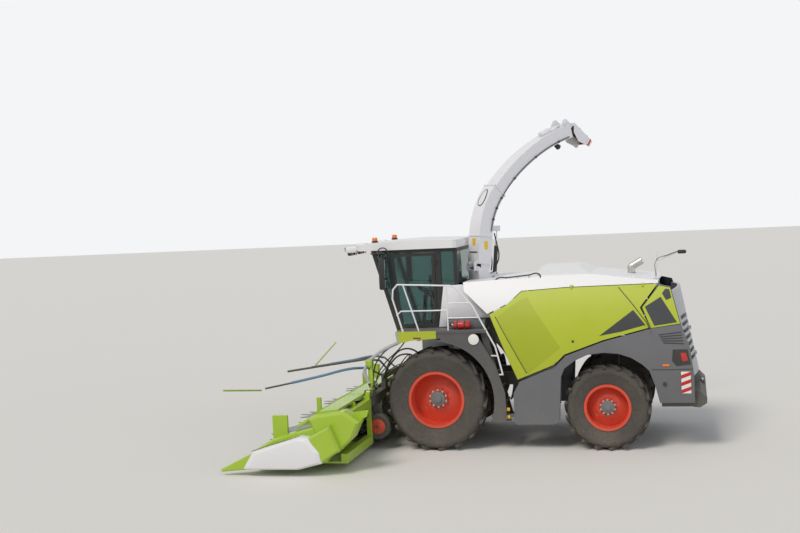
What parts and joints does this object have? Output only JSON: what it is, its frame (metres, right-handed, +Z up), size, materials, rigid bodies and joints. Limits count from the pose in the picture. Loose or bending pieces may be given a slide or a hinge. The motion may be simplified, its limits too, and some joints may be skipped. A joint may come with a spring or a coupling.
{
  "type": "self-propelled forage harvester with maize header",
  "caption": "Self-propelled forage harvester: cab, slewing discharge spout, opening body panels, rear steering and a folding rotary maize header on a lifting intake.",
  "frame": {"origin": "on the ground, under the middle of the whole machine with its header", "axes": "+X forward, +Y to the machine's left, +Z up"},
  "size_m": [8.5197, 7.4, 6.2522],
  "materials": {
    "frame_paint": "satin",
    "engine_casting": "matte",
    "pale_paint": "gloss",
    "cab_black": "satin",
    "pale_plastic": "gloss",
    "tinted_glass": "clear",
    "seat_fabric": "matte",
    "cab_plastic": "matte",
    "lime_paint": "gloss",
    "rail_paint": "gloss",
    "grey_plastic": "satin",
    "smoke_panel": "gloss",
    "exhaust_steel": "polished",
    "lamp_amber": "gloss",
    "lime_plastic": "gloss",
    "silver_plastic": "satin",
    "tyre_rubber": "matte",
    "rim_paint": "gloss",
    "rod_chrome": "polished",
    "header_lime": "gloss",
    "rotor_steel": "satin"
  },
  "bodies": {
    "chassis": {"chassis_frame": "frame_paint", "crop_channel": "frame_paint", "front_axle": "frame_paint", "rear_axle": "frame_paint", "engine_block": "engine_casting", "cab_floor": "pale_paint", "cab_frame": "cab_black", "cab_roof": "pale_plastic", "cab_glass": "tinted_glass", "operator_seat": "seat_fabric", "steering_console": "cab_plastic", "platform": "lime_paint", "handrails": "rail_paint", "ladder": "frame_paint", "front_fenders": "grey_plastic", "hood_top": "pale_plastic", "lower_sides": "grey_plastic", "rear_grilles": "smoke_panel", "rear_bumper": "frame_paint", "exhaust_stack": "exhaust_steel", "camera_mast": "rail_paint", "mirrors": "cab_plastic", "roof_lamps": "lamp_amber", "spout_turret": "frame_paint"},
    "wheel_front_left": {"tyre_front_left": "tyre_rubber", "rim_front_left": "rim_paint"},
    "wheel_front_right": {"tyre_front_right": "tyre_rubber", "rim_front_right": "rim_paint"},
    "wheel_rear_left": {"tyre_rear_left": "tyre_rubber", "rim_rear_left": "rim_paint"},
    "wheel_rear_right": {"tyre_rear_right": "tyre_rubber", "rim_rear_right": "rim_paint"},
    "knuckle_left": {"knuckle_left": "frame_paint"},
    "knuckle_right": {"knuckle_right": "frame_paint"},
    "spout_base": {"spout_neck": "pale_paint"},
    "spout": {"spout_duct": "pale_paint"},
    "spout_flap": {"spout_flap": "pale_paint"},
    "spout_lift_barrel": {"spout_lift_barrel": "frame_paint"},
    "spout_lift_rod": {"spout_lift_rod": "rod_chrome"},
    "header": {"intake_housing": "lime_paint", "header_frame": "frame_paint", "centre_deck": "header_lime"},
    "lift_barrels": {"lift_barrels": "frame_paint"},
    "lift_rods": {"lift_rods": "rod_chrome"},
    "wing_left": {"wing_left": "header_lime"},
    "wing_right": {"wing_right": "header_lime"},
    "support_wheel_left": {"support_wheel_left": "tyre_rubber"},
    "support_wheel_right": {"support_wheel_right": "tyre_rubber"},
    "rotor_1": {"rotor_1": "rotor_steel"},
    "rotor_2": {"rotor_2": "rotor_steel"},
    "rotor_3": {"rotor_3": "rotor_steel"},
    "rotor_4": {"rotor_4": "rotor_steel"},
    "cab_door": {"cab_door": "cab_black", "door_glass": "tinted_glass"},
    "side_panel_left": {"side_panel_left": "lime_plastic"},
    "side_panel_right": {"side_panel_right": "lime_plastic"},
    "tail_door": {"tail_door": "silver_plastic"}
  },
  "joints": [
    {"name": "wheel_front_left_spin", "type": "hinge", "parent": "chassis", "child": "wheel_front_left", "pos_m": [0.71, 1.16, 0.97], "axis": [0, 1, 0], "continuous": true},
    {"name": "wheel_front_right_spin", "type": "hinge", "parent": "chassis", "child": "wheel_front_right", "pos_m": [0.71, -1.16, 0.97], "axis": [0, 1, 0], "continuous": true},
    {"name": "steer_left", "type": "hinge", "parent": "chassis", "child": "knuckle_left", "pos_m": [-2.485, 0.72, 0.79], "axis": [0, 0, 1], "range_deg": [-35, 35]},
    {"name": "steer_right", "type": "hinge", "parent": "chassis", "child": "knuckle_right", "pos_m": [-2.485, -0.72, 0.79], "axis": [0, 0, 1], "range_deg": [-35, 35]},
    {"name": "wheel_rear_left_spin", "type": "hinge", "parent": "knuckle_left", "child": "wheel_rear_left", "pos_m": [-2.485, 1.14, 0.79], "axis": [0, 1, 0], "continuous": true},
    {"name": "wheel_rear_right_spin", "type": "hinge", "parent": "knuckle_right", "child": "wheel_rear_right", "pos_m": [-2.485, -1.14, 0.79], "axis": [0, 1, 0], "continuous": true},
    {"name": "spout_slew", "type": "hinge", "parent": "chassis", "child": "spout_base", "pos_m": [0.02, 0, 3.1], "axis": [0, 0, 1], "range_deg": [-150, 50]},
    {"name": "spout_lift", "type": "hinge", "parent": "spout_base", "child": "spout", "pos_m": [0.15499, 0.16087, 3.45], "axis": [-0.766, 0.6428, 0], "range_deg": [-25, 3]},
    {"name": "spout_lift_barrel_swing", "type": "hinge", "parent": "spout_base", "child": "spout_lift_barrel", "pos_m": [-0.22426, -0.2911, 3.235], "axis": [-0.766, 0.6428, 0], "range_deg": [-25.45, 3.94]},
    {"name": "spout_lift_rod_slide", "type": "slide", "parent": "spout_lift_barrel", "child": "spout_lift_rod", "axis": [-0.081, -0.0966, 0.992], "range_m": [-0.2812, 0.0425]},
    {"name": "flap_tilt", "type": "hinge", "parent": "spout", "child": "spout_flap", "pos_m": [-1.6411, -1.97962, 6.20237], "axis": [-0.766, 0.6428, 0], "range_deg": [-30, 25]},
    {"name": "header_lift", "type": "hinge", "parent": "chassis", "child": "header", "pos_m": [1.01, 0, 1], "axis": [0, -1, 0], "range_deg": [0, 16]},
    {"name": "lift_barrels_swing", "type": "hinge", "parent": "chassis", "child": "lift_barrels", "pos_m": [0.91, 0, 0.6], "axis": [0, -1, 0], "range_deg": [-1, 15.8]},
    {"name": "lift_rods_slide", "type": "slide", "parent": "lift_barrels", "child": "lift_rods", "axis": [0.983, 0, -0.1834], "range_m": [-0.01, 0.1227]},
    {"name": "wing_left_fold", "type": "hinge", "parent": "header", "child": "wing_left", "pos_m": [0.71, 1.5075, 1.14], "axis": [1, 0, 0], "range_deg": [0, 90]},
    {"name": "wing_right_fold", "type": "hinge", "parent": "header", "child": "wing_right", "pos_m": [0.71, -1.5075, 1.14], "axis": [-1, 0, 0], "range_deg": [0, 90]},
    {"name": "support_wheel_left_spin", "type": "hinge", "parent": "header", "child": "support_wheel_left", "pos_m": [1.89, 1.38, 0.46], "axis": [0, 1, 0], "continuous": true},
    {"name": "support_wheel_right_spin", "type": "hinge", "parent": "header", "child": "support_wheel_right", "pos_m": [1.89, -1.38, 0.46], "axis": [0, 1, 0], "continuous": true},
    {"name": "rotor_1_spin", "type": "hinge", "parent": "wing_right", "child": "rotor_1", "pos_m": [3.06, -2.38, 0.2], "axis": [0, 0, 1], "continuous": true},
    {"name": "rotor_2_spin", "type": "hinge", "parent": "header", "child": "rotor_2", "pos_m": [3.06, -0.76, 0.2], "axis": [0, 0, 1], "continuous": true},
    {"name": "rotor_3_spin", "type": "hinge", "parent": "header", "child": "rotor_3", "pos_m": [3.06, 0.76, 0.2], "axis": [0, 0, 1], "continuous": true},
    {"name": "rotor_4_spin", "type": "hinge", "parent": "wing_left", "child": "rotor_4", "pos_m": [3.06, 2.38, 0.2], "axis": [0, 0, 1], "continuous": true},
    {"name": "door_swing", "type": "hinge", "parent": "chassis", "child": "cab_door", "pos_m": [0.718, 0.914, 3], "axis": [0, 0, 1], "range_deg": [0, 34]},
    {"name": "panel_left_lift", "type": "hinge", "parent": "chassis", "child": "side_panel_left", "pos_m": [-1.89, 1.09601, 3.045], "axis": [1, 0, 0], "range_deg": [0, 70]},
    {"name": "panel_right_lift", "type": "hinge", "parent": "chassis", "child": "side_panel_right", "pos_m": [-1.89, -1.09601, 3.045], "axis": [-1, 0, 0], "range_deg": [0, 70]},
    {"name": "tail_door_swing", "type": "hinge", "parent": "chassis", "child": "tail_door", "pos_m": [-4.05304, -1.385, 1.70072], "axis": [0.1805, 0, 0.9836], "range_deg": [0, 90]}
  ],
  "couplings": [
    {"joint": "steer_right", "follows": "steer_left", "ratio": 1},
    {"joint": "spout_lift_barrel_swing", "follows": "spout_lift", "ratio": 0.97818},
    {"joint": "spout_lift_rod_slide", "follows": "spout_lift", "m_per_rad": 0.62149},
    {"joint": "lift_barrels_swing", "follows": "header_lift", "ratio": 0.92531},
    {"joint": "lift_rods_slide", "follows": "header_lift", "m_per_rad": 0.40362}
  ]
}
